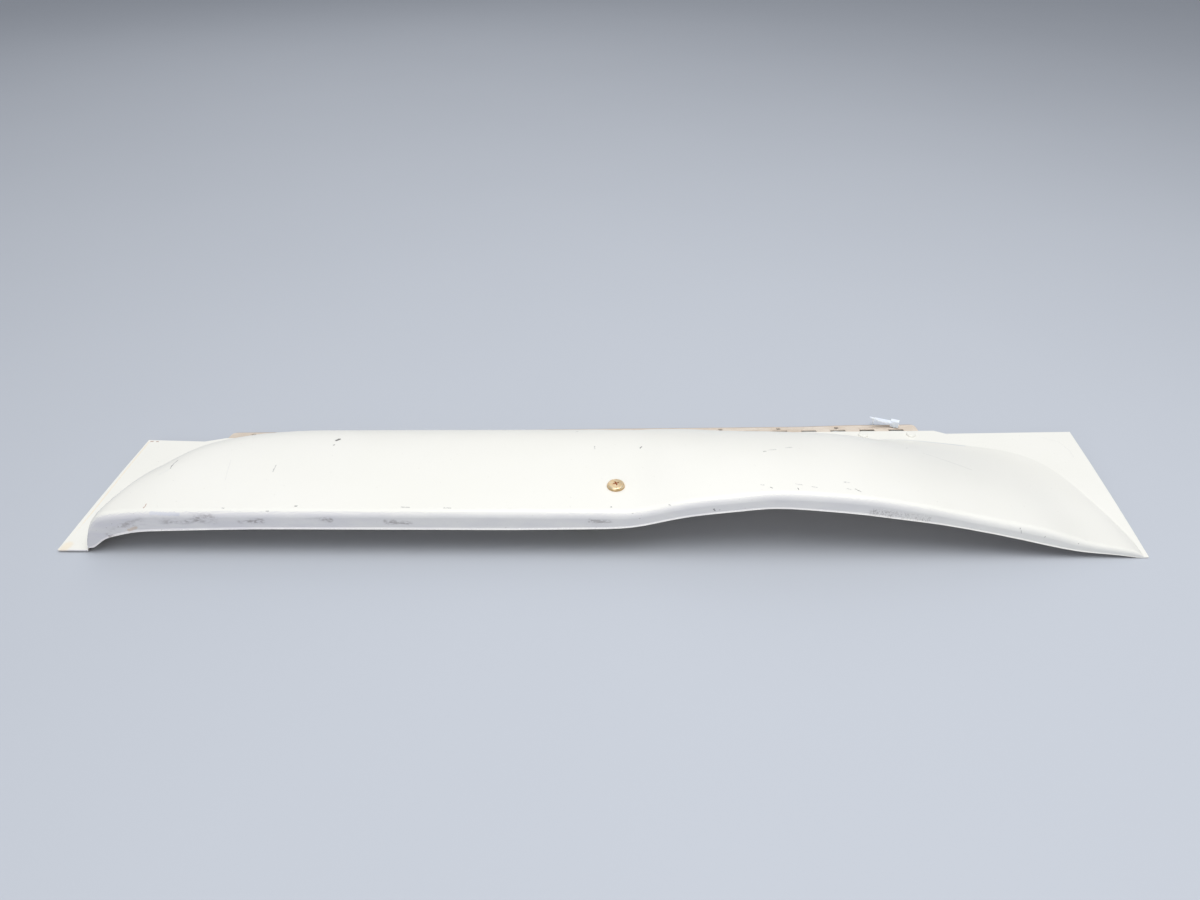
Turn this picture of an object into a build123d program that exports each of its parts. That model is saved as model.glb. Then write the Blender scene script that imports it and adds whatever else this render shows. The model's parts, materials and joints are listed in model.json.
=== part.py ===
"""Nose gear door, lying with its outer face up.

One pressed aluminium skin with a half blister that clears the tyre, a turned-down
lip along its free edge, and a continuous hinge riveted under the opposite edge.
Millimetres. +X runs along the hinge, +Y from the free edge to the hinge, +Z out of
the door. The origin is the middle of the door's footprint, on the bench.
"""

from build123d import *
import os
from math import asin, atan2, cos, radians, sin, sqrt, tan

# Skin outline, seen from above
overall_length = 807.6
left_chord = 137.6
right_chord = 158.9
left_lean = 15.1
right_lean = 9.6
tab_depth = 4.8
left_corner_back = 1.6
right_corner_back = 3.9
tab_left_slope = 17.0
tab_right_slope = 9.0
tab_left_margin = 0.5
tab_right_margin = 12.3

# Sheet and blister
sheet = 1.2
flange_width = 12.6
blister_left_inset = 22.3
blister_right_inset = 3.4
crest_rise = 56.1
lip_depth = 14.0
nose_radius = 5.0
rim_flare = 0.9
rim_flare_height = 1.4

# Continuous hinge
hinge_offset = -24.3
pin_setback = 1.6
knuckle = 12.7
knuckle_count = 47
knuckle_gap = 0.4
door_slot_gap = 0.5
frame_slot_gap = 2.0
pin_radius = 1.13
pin_clearance = 0.06
leaf_thickness = 1.0
door_leaf_width = 15.5
hinge_seat = 0.06
frame_leaf_width = 13.2
frame_leaf_corner = 4.0
bench_gap = 0.1
twist_inset = 56.0
twist_length = 46.0
pin_head_radius = 1.7
pin_head_thickness = 0.7
pin_end_play = 0.3

# Hinge rivets and the open rivet holes of the loose leaf
rivet_pitch = 41.3
rivet_count = 15
rivet_setback = 7.6
rivet_radius = 2.0
rivet_head_radius = 4.0
rivet_head_height = 1.7
rivet_head_round = 1.3
rivet_tail_radius = 2.9
rivet_tail_height = 1.5
rivet_hole_clearance = 0.05
hole_count = 12
knuckles_per_hole = 4
hole_setback = 8.2
hole_radius = 2.05

# Link bracket and what holds it
screw_x = 6.5
screw_inset = 31.5
bracket_sheet = 1.6
bracket_length = 44.0
bracket_width = 24.0
bracket_end = 9.0
bracket_corner = 3.0
bracket_drop = 27.0
bracket_bend = 3.0
link_bore_radius = 2.42
link_eye_radius = 8.0
screw_radius = 2.38
screw_head_radius = 4.9
screw_head_angle = 100.0
screw_crown = 0.4
screw_tip = 2.0
screw_chamfer = 0.5
recess_width = 4.8
recess_bar = 1.2
recess_depth = 1.7
recess_turn = 20.0
cup_radius = 6.6
cup_height = 2.4
cup_edge = 0.5
cup_rim = 0.35
washer_radius = 5.55
washer_thickness = 1.6
nut_flats = 9.5
nut_height = 4.4
nut_collar_radius = 4.35
nut_collar_wall = 0.6
nut_collar_height = 2.0
nut_collar_lip = 0.5
thread_gap = 0.02
bolt_hole_clearance = 0.15
seat_gap = 0.03
bracket_seat = 0.12
cup_seat = 0.02

# Tie left in one hole of the loose leaf
tie_hole = 11
tie_width = 3.2
tie_thickness = 0.95
tie_turn = 67.0
tie_reach = 18.0
tie_rise = 7.0
tie_bend = 1.6
tie_leaf_gap = 0.12
tie_head = 7.0
tie_head_width = 4.6
tie_head_height = 5.4
tie_head_rise = 1.6
tie_tail = 23.0
tie_tail_rise = 6.0
tie_tip_length = 7.0
tie_tip_width = 1.2

# Shape of the blister along the door. Each guide is a list of (share of the
# blister's length from its left end, value). The crest is a share of crest_rise and
# the lip a share of lip_depth. The foot is the share of the chord in front of the
# hinge flange. Fullness runs from about 1, a square shoulder, to 0, a soft bell.
crest_guide = [
    (0.0, 0.003),
    (0.0035, 0.22),
    (0.0085, 0.375),
    (0.018, 0.535),
    (0.037, 0.61),
    (0.075, 0.645),
    (0.12, 0.652),
    (0.3, 0.669),
    (0.512, 0.676),
    (0.537, 0.742),
    (0.565, 0.843),
    (0.615, 0.942),
    (0.65, 0.994),
    (0.714, 0.942),
    (0.77, 0.825),
    (0.842, 0.602),
    (0.9025, 0.405),
    (0.947, 0.207),
    (0.976, 0.122),
    (0.992, 0.075),
    (1.0, 0.003),
]
lip_guide = [
    (0.0, 0.01),
    (0.0085, 1.15),
    (0.018, 1.38),
    (0.05, 1.15),
    (0.1, 1.07),
    (0.17, 0.995),
    (0.38, 1.0),
    (0.45, 0.95),
    (0.5, 0.89),
    (0.524, 0.8),
    (0.615, 0.77),
    (0.74, 0.86),
    (0.842, 0.68),
    (0.9025, 0.72),
    (0.961, 0.355),
    (0.977, 0.29),
    (0.992, 0.24),
    (1.0, 0.01),
]
foot_guide = [
    (0, 0.965),
    (0.004, 0.9),
    (0.01, 0.815),
    (0.02, 0.715),
    (0.035, 0.53),
    (0.055, 0.347),
    (0.08, 0.17),
    (0.11, 0.079),
    (0.15, 0.021),
    (0.2, 0.0),
    (0.81, 0.0),
    (0.88, 0.055),
    (0.92, 0.11),
    (0.954, 0.2),
    (0.973, 0.37),
    (0.99, 0.66),
    (1.0, 0.88),
]
fullness_guide = [
    (0, 0.3),
    (0.008, 0.55),
    (0.018, 0.65),
    (0.035, 1.02),
    (0.13, 1.05),
    (0.22, 1.015),
    (0.32, 0.98),
    (0.43, 0.948),
    (0.5, 0.926),
    (0.57, 0.69),
    (0.65, 0.476),
    (0.74, 0.45),
    (0.81, 0.27),
    (0.88, 0.15),
    (1.0, 0.0),
]
left_stations = 7
left_share = 0.1
even_stations = 28
right_stations = 4
right_share = 0.06

# Levels and lines that follow from those sizes
barrel_radius = pin_radius + pin_clearance + leaf_thickness
pin_z = barrel_radius
leaf_top = 2 * barrel_radius
flange_base = leaf_top + hinge_seat
flange_top = flange_base + sheet
frame_leaf_lift = tie_thickness + 2 * tie_leaf_gap
leaf_fall = leaf_top - leaf_thickness
tie_droop = asin((leaf_fall - frame_leaf_lift) / frame_leaf_width)
bench_droop = asin((leaf_fall - bench_gap) / frame_leaf_width)
loose_reach = pin_setback + frame_leaf_width * cos(tie_droop) + barrel_radius * sin(tie_droop)
edge_y = (right_chord - loose_reach) / 2
pin_y = edge_y + pin_setback
hinge_length = knuckle * knuckle_count
hinge_left = hinge_offset - hinge_length / 2
hinge_right = hinge_left + hinge_length
twist_right = hinge_right - twist_inset
twist_left = twist_right - twist_length
left_front = (-overall_length / 2, edge_y - left_chord)
right_rear = (overall_length / 2, edge_y - right_corner_back)
left_rear = (left_front[0] + left_lean, edge_y - left_corner_back)
right_front = (right_rear[0] - right_lean, edge_y - right_chord)
free_edge_slope = (right_front[1] - left_front[1]) / (right_front[0] - left_front[0])
blister_left = left_front[0] + blister_left_inset
blister_right = right_front[0] - blister_right_inset
blister_length = blister_right - blister_left
belly_radius = (right_chord**2 + flange_base**2) / (2 * flange_base)
above = 3 * crest_rise
knuckles = [hinge_left + knuckle * (k + 0.5) for k in range(knuckle_count)]
rivet_spots = [
    (hinge_offset + rivet_pitch * (k - (rivet_count - 1) / 2), pin_y - rivet_setback)
    for k in range(rivet_count)
]
hole_pitch = knuckles_per_hole * knuckle
hole_spots = [
    hinge_offset + hole_pitch * (k - (hole_count - 1) / 2) for k in range(hole_count)
]


def along(guide, share):
    """Value of a guide at a share of the length: a smooth curve with no overshoot."""
    last = len(guide) - 2
    i = max(k for k in range(last + 1) if k == 0 or guide[k][0] <= share)
    rises = [(b[1] - a[1]) / (b[0] - a[0]) for a, b in zip(guide, guide[1:])]

    def slope(k):
        if k == 0 or k > last:
            return rises[min(k, last)]
        before, after = rises[k - 1], rises[k]
        return 2 * before * after / (before + after) if before * after > 0 else 0.0

    (x0, y0), (x1, y1) = guide[i], guide[i + 1]
    span = x1 - x0
    t = (share - x0) / span
    start, end = slope(i) * span, slope(i + 1) * span
    return (
        y0 * (1 + 2 * t) * (1 - t) ** 2
        + start * t * (1 - t) ** 2
        + y1 * t * t * (3 - 2 * t)
        - end * t * t * (1 - t)
    )


def station_x(share):
    """Distance along the door of a share of the blister's length."""
    return blister_left + share * blister_length


def share_at(x):
    """Share of the blister's length at a distance along the door."""
    return (x - blister_left) / blister_length


def free_edge_y(x):
    """The free edge is straight, and runs at a small angle to the hinge."""
    return left_front[1] + (x - left_front[0]) * free_edge_slope


def flange_z(y, lift):
    """Height of the flange, an arc that follows the belly, above its own underside."""
    return flange_base - belly_radius + sqrt((belly_radius + lift) ** 2 - (edge_y - y) ** 2)


def crest_z(share):
    """Height of the blister's outer face at the free edge."""
    flange = flange_z(free_edge_y(station_x(share)), sheet)
    return flange + crest_rise * along(crest_guide, share)


def rim_z(share):
    """Height of the lip's lower edge."""
    return crest_z(share) - sheet - lip_depth * along(lip_guide, share)


def section(share):
    """Corner and control points of the sheet in one cross-section."""
    front = free_edge_y(station_x(share))
    foot = edge_y - flange_width
    foot -= along(foot_guide, share) * (foot - front)
    full = along(fullness_guide, share)
    crest, rim = crest_z(share), rim_z(share)
    nose = min(nose_radius, 0.5 * (crest - rim))
    flare = min(1, (crest - rim - sheet) / lip_depth)
    inner_nose = max(nose - sheet, 0.1)
    foot_z = flange_z(foot, sheet)
    depth, height = foot - front, crest - foot_z
    flat_y = front + nose + (0.45 + 0.48 * full) * (depth - nose)
    shoulder_y = foot - (0.045 + 0.155 * (1 - full) ** 2) * depth
    shoulder_z = foot_z + (0.10 + 0.73 * full) * height
    tilt = atan2(shoulder_z - foot_z, foot - shoulder_y)
    inner_foot = foot - sheet * tan(tilt / 2)
    return {
        "rim": (front - rim_flare * flare, rim),
        "bend": (front, rim + rim_flare_height * flare),
        "front": (front, crest - nose),
        "nose": (front + nose, crest),
        "flat": (flat_y, crest),
        "shoulder": (shoulder_y, shoulder_z),
        "foot": (foot, foot_z),
        "inner_foot": (inner_foot, flange_z(inner_foot, 0)),
        "inner_shoulder": (shoulder_y - sheet * sin(tilt), shoulder_z - sheet * cos(tilt)),
        "inner_flat": (flat_y, crest - sheet),
        "inner_nose": (front + sheet + inner_nose, crest - sheet),
        "inner_front": (front + sheet, crest - sheet - inner_nose),
        "inner_bend": (front + sheet, rim + rim_flare_height * flare),
        "inner_rim": (front + sheet - rim_flare * flare, rim),
        "nose_radius": nose,
        "inner_nose_radius": inner_nose,
    }


def blister_z(x, y):
    """Height of the blister's outer face at a point behind the nose."""
    p = section(share_at(x))
    corners = [p["nose"], p["flat"], p["shoulder"], p["foot"]]

    def at(t, axis):
        a, b, c, d = [corner[axis] for corner in corners]
        return a * (1 - t) ** 3 + 3 * b * t * (1 - t) ** 2 + 3 * c * t * t * (1 - t) + d * t**3

    low, high = 0.0, 1.0
    for _ in range(40):
        middle = (low + high) / 2
        low, high = (middle, high) if at(middle, 0) < y else (low, middle)
    return at(low, 1)


def flange_arc(start_y, end_y, lift):
    """Stretch of the belly arc between two distances from the hinge."""
    mid_y = (start_y + end_y) / 2
    return ThreePointArc(*[(y, flange_z(y, lift)) for y in (start_y, mid_y, end_y)])


def sheet_section(share):
    """Face of the sheet across the door: lip, nose, blister and hinge flange."""
    p = section(share)
    with BuildSketch(Plane.YZ.offset(station_x(share))) as cut:
        with BuildLine():
            Line(p["rim"], p["bend"])
            Line(p["bend"], p["front"])
            RadiusArc(p["front"], p["nose"], p["nose_radius"])
            Bezier(p["nose"], p["flat"], p["shoulder"], p["foot"])
            flange_arc(p["foot"][0], edge_y, sheet)
            Line((edge_y, flange_top), (edge_y, flange_base))
            flange_arc(edge_y, p["inner_foot"][0], 0)
            Bezier(p["inner_foot"], p["inner_shoulder"], p["inner_flat"], p["inner_nose"])
            RadiusArc(p["inner_nose"], p["inner_front"], -p["inner_nose_radius"])
            Line(p["inner_front"], p["inner_bend"])
            Line(p["inner_bend"], p["inner_rim"])
            Line(p["inner_rim"], p["rim"])
        make_face()
    return cut.sketch.face()


def leaf_droop(x):
    """Slope of the loose leaf, which lies on the bench and twists up onto the tie."""
    turned = min(1, max(0, (x - twist_left) / twist_length))
    return bench_droop + turned * (tie_droop - bench_droop)


def leaf_face(x):
    """Plane through the pin, parallel to the loose leaf at one place."""
    droop = leaf_droop(x)
    return Plane(origin=(x, pin_y, pin_z), x_dir=(1, 0, 0), z_dir=(0, sin(droop), cos(droop)))


def leaf_slice(x):
    """Plane across the loose leaf at one place."""
    droop = leaf_droop(x)
    return Plane(origin=(x, pin_y, pin_z), x_dir=(0, cos(droop), -sin(droop)), z_dir=(1, 0, 0))


screw_y = free_edge_y(screw_x) + screw_inset
tab_left = hinge_left - tab_left_margin
tab_right = hinge_right + tab_right_margin
outside_y = edge_y + flange_width
waste = left_lean + flange_width
left_waste = [
    left_front,
    left_rear,
    (tab_left - tab_left_slope, edge_y - tab_depth),
    (tab_left, edge_y),
    (tab_left, outside_y),
    (left_front[0] - waste, outside_y),
    (left_front[0] - waste, left_front[1] - waste),
    (left_front[0], left_front[1] - waste),
]
right_waste = [
    right_front,
    right_rear,
    (tab_right + tab_right_slope, edge_y - tab_depth),
    (tab_right, edge_y),
    (tab_right, outside_y),
    (right_rear[0] + waste, outside_y),
    (right_rear[0] + waste, right_front[1] - waste),
    (right_front[0], right_front[1] - waste),
]
even_step = (1 - left_share - right_share) / even_stations
left_shares = [left_share * (k / left_stations) ** 2 for k in range(left_stations)]
even_shares = [left_share + even_step * k for k in range(even_stations)]
right_shares = [1 - right_share * (k / right_stations) ** 2 for k in range(right_stations, -1, -1)]

with BuildPart() as door_skin:
    loft([sheet_section(share) for share in left_shares + even_shares + right_shares])
    skin_ends = door_skin.faces().sort_by(Axis.X)
    extrude(skin_ends[0], amount=waste, dir=(-1, -free_edge_slope, 0))
    extrude(skin_ends[-1], amount=waste, dir=(1, free_edge_slope, 0))
    with BuildSketch(Plane.XY.offset(-above)):
        for corners in (left_waste, right_waste):
            with BuildLine():
                Polyline(*corners, close=True)
            make_face()
    extrude(amount=2 * above, mode=Mode.SUBTRACT)
    with BuildSketch(Plane.XY):
        with Locations((screw_x, screw_y)):
            Circle(screw_radius + bolt_hole_clearance)
        with Locations(*rivet_spots):
            Circle(rivet_radius + rivet_hole_clearance)
    extrude(amount=above, mode=Mode.SUBTRACT)

# Two hinge halves, interleaved on the pin
with BuildPart() as hinge_leaf_door:
    right_end_plane = Plane(
        origin=(hinge_right, pin_y, pin_z), x_dir=(0, -1, 0), z_dir=(-1, 0, 0)
    )
    with BuildSketch(right_end_plane):
        Circle(barrel_radius)
        with Locations((0, barrel_radius - leaf_thickness)):
            Rectangle(door_leaf_width, leaf_thickness, align=(Align.MIN, Align.MIN))
        Circle(pin_radius + pin_clearance, mode=Mode.SUBTRACT)
    extrude(amount=hinge_length)
    with BuildSketch(Plane.XY):
        with Locations(*[(x, pin_y) for x in knuckles[::2]]):
            Rectangle(knuckle + knuckle_gap, 2 * (barrel_radius + door_slot_gap))
        with Locations(*rivet_spots):
            Circle(rivet_radius + rivet_hole_clearance)
    extrude(amount=above, mode=Mode.SUBTRACT)

with BuildPart() as hinge_leaf_frame:
    for start, end in ((hinge_left, twist_left), (twist_right, hinge_right)):
        with BuildSketch(leaf_slice(start)):
            with Locations((0, barrel_radius - leaf_thickness)):
                Rectangle(frame_leaf_width, leaf_thickness, align=(Align.MIN, Align.MIN))
        extrude(amount=end - start)
    with BuildSketch(leaf_slice(twist_left), leaf_slice(twist_right)):
        with Locations((0, barrel_radius - leaf_thickness)):
            Rectangle(frame_leaf_width, leaf_thickness, align=(Align.MIN, Align.MIN))
    loft(ruled=True)
    end_faces = hinge_leaf_frame.faces().sort_by(Axis.X)
    far_edges = [face.edges().sort_by(Axis.Y)[-1] for face in (end_faces[0], end_faces[-1])]
    fillet(far_edges, frame_leaf_corner)
    with BuildSketch(leaf_slice(hinge_left)):
        Circle(barrel_radius)
    extrude(amount=hinge_length)
    with BuildSketch(leaf_slice(hinge_left)):
        Circle(pin_radius + pin_clearance)
    extrude(amount=hinge_length, mode=Mode.SUBTRACT)
    with BuildSketch(*[leaf_face(x) for x in knuckles[1::2]]):
        Rectangle(knuckle + knuckle_gap, 2 * (barrel_radius + frame_slot_gap))
    extrude(amount=2 * barrel_radius, both=True, mode=Mode.SUBTRACT)
    with BuildSketch(*[leaf_face(x) for x in hole_spots]):
        with Locations((0, hole_setback)):
            Circle(hole_radius)
    extrude(amount=2 * barrel_radius, both=True, mode=Mode.SUBTRACT)

# Hinge pin with peened ends
pin_end = hinge_length / 2 + pin_end_play
with BuildPart() as hinge_pin:
    with BuildSketch(Plane.YZ.offset(hinge_offset)):
        with Locations((pin_y, pin_z)):
            Circle(pin_radius)
    extrude(amount=pin_end, both=True)
    for start, way in ((hinge_offset + pin_end, 1), (hinge_offset - pin_end, -1)):
        with BuildSketch(Plane.YZ.offset(start)):
            with Locations((pin_y, pin_z)):
                Circle(pin_head_radius)
        extrude(amount=way * pin_head_thickness)
    pin_faces = hinge_pin.faces().sort_by(Axis.X)
    fillet((pin_faces[0].edges(), pin_faces[-1].edges()), pin_head_thickness / 2)

# Rivets that hold the door half of the hinge
leaf_bottom = leaf_top - leaf_thickness
with BuildPart() as hinge_rivets:
    with BuildSketch(Plane.XY.offset(leaf_bottom)):
        with Locations(*rivet_spots):
            Circle(rivet_radius)
    extrude(amount=flange_top - leaf_bottom)
    with BuildSketch(Plane.XY.offset(flange_top)):
        with Locations(*rivet_spots):
            Circle(rivet_head_radius)
    extrude(amount=rivet_head_height)
    fillet(hinge_rivets.edges().group_by(Axis.Z)[-1], rivet_head_round)
    with BuildSketch(Plane.XY.offset(leaf_bottom)):
        with Locations(*rivet_spots):
            Circle(rivet_tail_radius)
    extrude(amount=-rivet_tail_height)

# Link bracket under the blister
bracket_right = screw_x + bracket_end
bracket_left = bracket_right - bracket_length
bracket_rear = screw_y + bracket_width / 2
skin_low = min(blister_z(x, bracket_rear) for x in (bracket_left, screw_x, bracket_right))
base_top = skin_low - sheet - bracket_seat
base_bottom = base_top - bracket_sheet
link_z = base_top - bracket_drop + link_eye_radius
with BuildPart() as link_bracket:
    with BuildSketch(Plane.XZ.offset(-screw_y)) as bend:
        with BuildLine():
            Polyline(
                (bracket_left, base_top - bracket_drop),
                (bracket_left, base_top),
                (bracket_right, base_top),
                (bracket_right, base_bottom),
                (bracket_left + bracket_sheet, base_bottom),
                (bracket_left + bracket_sheet, base_top - bracket_drop),
                close=True,
            )
        make_face()
        by_height = bend.vertices().group_by(Axis.Y)
        fillet(by_height[-1].sort_by(Axis.X)[0], bracket_bend)
        fillet(by_height[-2].sort_by(Axis.X)[0], bracket_bend - bracket_sheet)
    extrude(amount=bracket_width / 2, both=True)
    with BuildSketch(Plane.YZ.offset(bracket_left)):
        with Locations((screw_y, link_z)):
            Circle(link_eye_radius)
        with Locations((screw_y, base_top)):
            Rectangle(bracket_width, 2 * bracket_bend, align=(Align.CENTER, Align.MAX))
        make_hull()
        with Locations((screw_y, link_z)):
            Circle(link_bore_radius, mode=Mode.SUBTRACT)
    extrude(amount=bracket_length, mode=Mode.INTERSECT)
    fillet(link_bracket.edges().filter_by(Axis.Z).sort_by(Axis.X)[-2:], bracket_corner)
    with BuildSketch(Plane.XY.offset(base_bottom)):
        with Locations((screw_x, screw_y)):
            Circle(screw_radius + bolt_hole_clearance)
    extrude(amount=bracket_sheet, mode=Mode.SUBTRACT)

# Screw, cup washer above the skin, washer and self-locking nut below the bracket
screw_line = Axis((screw_x, screw_y, 0), (0, 0, 1))
cup_bottom = blister_z(screw_x, screw_y - cup_radius) + cup_seat
cup_top = cup_bottom + cup_height
head_slope = tan(radians(screw_head_angle / 2))
washer_bottom = base_bottom - seat_gap - washer_thickness
nut_top = washer_bottom - seat_gap
nut_bottom = nut_top - nut_height
collar_bottom = nut_bottom - nut_collar_height
screw_end = collar_bottom - screw_tip
screw_plane = Plane(origin=(screw_x, screw_y, 0), x_dir=(1, 0, 0), z_dir=(0, -1, 0))
with BuildPart() as bracket_screw:
    with BuildSketch(screw_plane):
        with BuildLine():
            cone_bottom = cup_top - (screw_head_radius - screw_radius) / head_slope
            Line((0, cup_top + screw_crown), (0, screw_end))
            Line((0, screw_end), (screw_radius - screw_chamfer, screw_end))
            Line(
                (screw_radius - screw_chamfer, screw_end),
                (screw_radius, screw_end + screw_chamfer),
            )
            Line((screw_radius, screw_end + screw_chamfer), (screw_radius, cone_bottom))
            Line((screw_radius, cone_bottom), (screw_head_radius, cup_top))
            Bezier(
                (screw_head_radius, cup_top),
                (screw_head_radius / 2, cup_top + screw_crown),
                (0, cup_top + screw_crown),
            )
        make_face()
    revolve(axis=screw_line)
    with BuildSketch(Plane.XY.offset(cup_top - recess_depth)):
        with Locations((screw_x, screw_y)):
            Rectangle(recess_width, recess_bar, rotation=recess_turn)
            Rectangle(recess_bar, recess_width, rotation=recess_turn)
    extrude(amount=recess_depth + 2 * screw_crown, mode=Mode.SUBTRACT)

with BuildPart() as cup_washer:
    with BuildSketch(screw_plane):
        with BuildLine():
            lip_radius = screw_head_radius + seat_gap
            hole = screw_radius + bolt_hole_clearance
            Polyline(
                (lip_radius + cup_rim, cup_top),
                (lip_radius, cup_top),
                (hole, cup_top - (lip_radius - hole) / head_slope),
                (hole, cup_bottom),
                (cup_radius, cup_bottom),
                (cup_radius, cup_bottom + cup_edge),
            )
            Bezier(
                (cup_radius, cup_bottom + cup_edge),
                (cup_radius - cup_edge, cup_top),
                (lip_radius + cup_rim, cup_top),
            )
        make_face()
    revolve(axis=screw_line)

with BuildPart() as plain_washer:
    with BuildSketch(Plane.XY.offset(washer_bottom)):
        with Locations((screw_x, screw_y)):
            Circle(washer_radius)
            Circle(screw_radius + bolt_hole_clearance, mode=Mode.SUBTRACT)
    extrude(amount=washer_thickness)

insert_top = nut_bottom - seat_gap
insert_bottom = collar_bottom + nut_collar_lip + seat_gap
insert_radius = nut_collar_radius - nut_collar_wall
with BuildPart() as lock_nut:
    with BuildSketch(Plane.XY.offset(nut_bottom)):
        with Locations((screw_x, screw_y)):
            RegularPolygon(nut_flats / 2, 6, major_radius=False)
    extrude(amount=nut_height)
    with BuildSketch(Plane.XY.offset(collar_bottom)):
        with Locations((screw_x, screw_y)):
            Circle(nut_collar_radius)
    extrude(amount=nut_collar_height)
    with BuildSketch(Plane.XY.offset(collar_bottom)):
        with Locations((screw_x, screw_y)):
            Circle(screw_radius + thread_gap)
    extrude(amount=nut_top - collar_bottom, mode=Mode.SUBTRACT)
    with BuildSketch(Plane.XY.offset(collar_bottom + nut_collar_lip)):
        with Locations((screw_x, screw_y)):
            Circle(insert_radius)
    extrude(amount=nut_collar_height - nut_collar_lip, mode=Mode.SUBTRACT)

with BuildPart() as nut_insert:
    with BuildSketch(Plane.XY.offset(insert_bottom)):
        with Locations((screw_x, screw_y)):
            Circle(insert_radius - seat_gap)
            Circle(screw_radius + thread_gap, mode=Mode.SUBTRACT)
    extrude(amount=insert_top - insert_bottom)

# Nylon tie looped through one hole and round the far edge of the loose leaf
tie_y = pin_y + hole_setback * cos(tie_droop)
tie_y += (barrel_radius - leaf_thickness / 2) * sin(tie_droop)
tie_start = Vector(hole_spots[tie_hole], tie_y, 0)
tie_way = Vector(-sin(radians(tie_turn)), cos(radians(tie_turn)), 0)
tie_plane = Plane(origin=tie_start, x_dir=tie_way, z_dir=tie_way.cross(Vector(0, 0, 1)))
tie_top = frame_leaf_lift + tie_rise
tail_plane = Plane(origin=tie_start, x_dir=(-1, 0, 0), z_dir=(0, 1, 0))
with BuildPart() as tag_tie:
    with BuildSketch(tie_plane):
        with Locations((-tie_thickness / 2, tie_leaf_gap)):
            RectangleRounded(
                tie_reach + tie_thickness,
                tie_top - tie_leaf_gap,
                tie_bend,
                align=(Align.MIN, Align.MIN),
            )
        with Locations((tie_thickness / 2, tie_leaf_gap + tie_thickness)):
            RectangleRounded(
                tie_reach - tie_thickness,
                tie_top - tie_leaf_gap - 2 * tie_thickness,
                tie_bend - tie_thickness,
                align=(Align.MIN, Align.MIN),
                mode=Mode.SUBTRACT,
            )
    extrude(amount=tie_width / 2, both=True)
    with BuildSketch(tie_plane):
        with Locations((0, tie_top + tie_head_rise)):
            Rectangle(tie_head, tie_head_height, align=(Align.CENTER, Align.MAX))
    extrude(amount=tie_head_width / 2, both=True)
    tail_run = (0, 0.4 * tie_tail, 0.7 * tie_tail, tie_tail)
    tail_rise = (0, 0, 0.6 * tie_tail_rise, tie_tail_rise)
    tail_top = [(run, tie_top + rise) for run, rise in zip(tail_run, tail_rise)]
    tail_bottom = [(run, height - tie_thickness) for run, height in reversed(tail_top)]
    with BuildSketch(tail_plane):
        with BuildLine():
            Bezier(*tail_top)
            Line(tail_top[-1], tail_bottom[0])
            Bezier(*tail_bottom)
            Line(tail_bottom[-1], tail_top[0])
        make_face()
    extrude(amount=tie_width / 2, both=True)
    tip_x = tie_start.X - tie_tail
    with BuildSketch(Plane.XY.offset(tie_top)):
        for side in (1, -1):
            with BuildLine():
                Polyline(
                    (tip_x + tie_tip_length, tie_start.Y + side * tie_width / 2),
                    (tip_x, tie_start.Y + side * tie_tip_width / 2),
                    (tip_x, tie_start.Y + side * tie_width),
                    (tip_x + tie_tip_length, tie_start.Y + side * tie_width),
                    close=True,
                )
            make_face()
    extrude(amount=tie_tail_rise, both=True, mode=Mode.SUBTRACT)

os.makedirs("parts", exist_ok=True)
door_skin.part.label = "door_skin"
export_step(door_skin.part, "parts/door_skin.step")
hinge_leaf_door.part.label = "hinge_leaf_door"
export_step(hinge_leaf_door.part, "parts/hinge_leaf_door.step")
hinge_leaf_frame.part.label = "hinge_leaf_frame"
export_step(hinge_leaf_frame.part, "parts/hinge_leaf_frame.step")
hinge_pin.part.label = "hinge_pin"
export_step(hinge_pin.part, "parts/hinge_pin.step")
hinge_rivets.part.label = "hinge_rivets"
export_step(hinge_rivets.part, "parts/hinge_rivets.step")
link_bracket.part.label = "link_bracket"
export_step(link_bracket.part, "parts/link_bracket.step")
bracket_screw.part.label = "bracket_screw"
export_step(bracket_screw.part, "parts/bracket_screw.step")
cup_washer.part.label = "cup_washer"
export_step(cup_washer.part, "parts/cup_washer.step")
plain_washer.part.label = "plain_washer"
export_step(plain_washer.part, "parts/plain_washer.step")
lock_nut.part.label = "lock_nut"
export_step(lock_nut.part, "parts/lock_nut.step")
nut_insert.part.label = "nut_insert"
export_step(nut_insert.part, "parts/nut_insert.step")
tag_tie.part.label = "tag_tie"
export_step(tag_tie.part, "parts/tag_tie.step")
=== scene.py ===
# %% [markdown]
# # A blistered gear door in Blender
# The door is one pressed aluminium skin, painted white, with a continuous hinge under
# one long edge. The CAD model already holds every solid at its real size, so this
# script adds the camera, the light and the finish of each surface around that frame.

import json
from math import pi, radians

import bpy
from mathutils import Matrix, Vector
from mathutils.bvhtree import BVHTree


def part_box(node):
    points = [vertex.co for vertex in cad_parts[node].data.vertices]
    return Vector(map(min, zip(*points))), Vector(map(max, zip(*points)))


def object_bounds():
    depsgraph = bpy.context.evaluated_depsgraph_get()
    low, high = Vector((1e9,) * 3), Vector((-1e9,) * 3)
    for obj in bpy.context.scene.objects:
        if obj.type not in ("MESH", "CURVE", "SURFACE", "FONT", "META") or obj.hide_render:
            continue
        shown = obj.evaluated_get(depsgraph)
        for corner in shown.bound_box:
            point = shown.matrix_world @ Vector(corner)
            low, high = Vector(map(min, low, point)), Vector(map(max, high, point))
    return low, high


MM = 0.001

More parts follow.
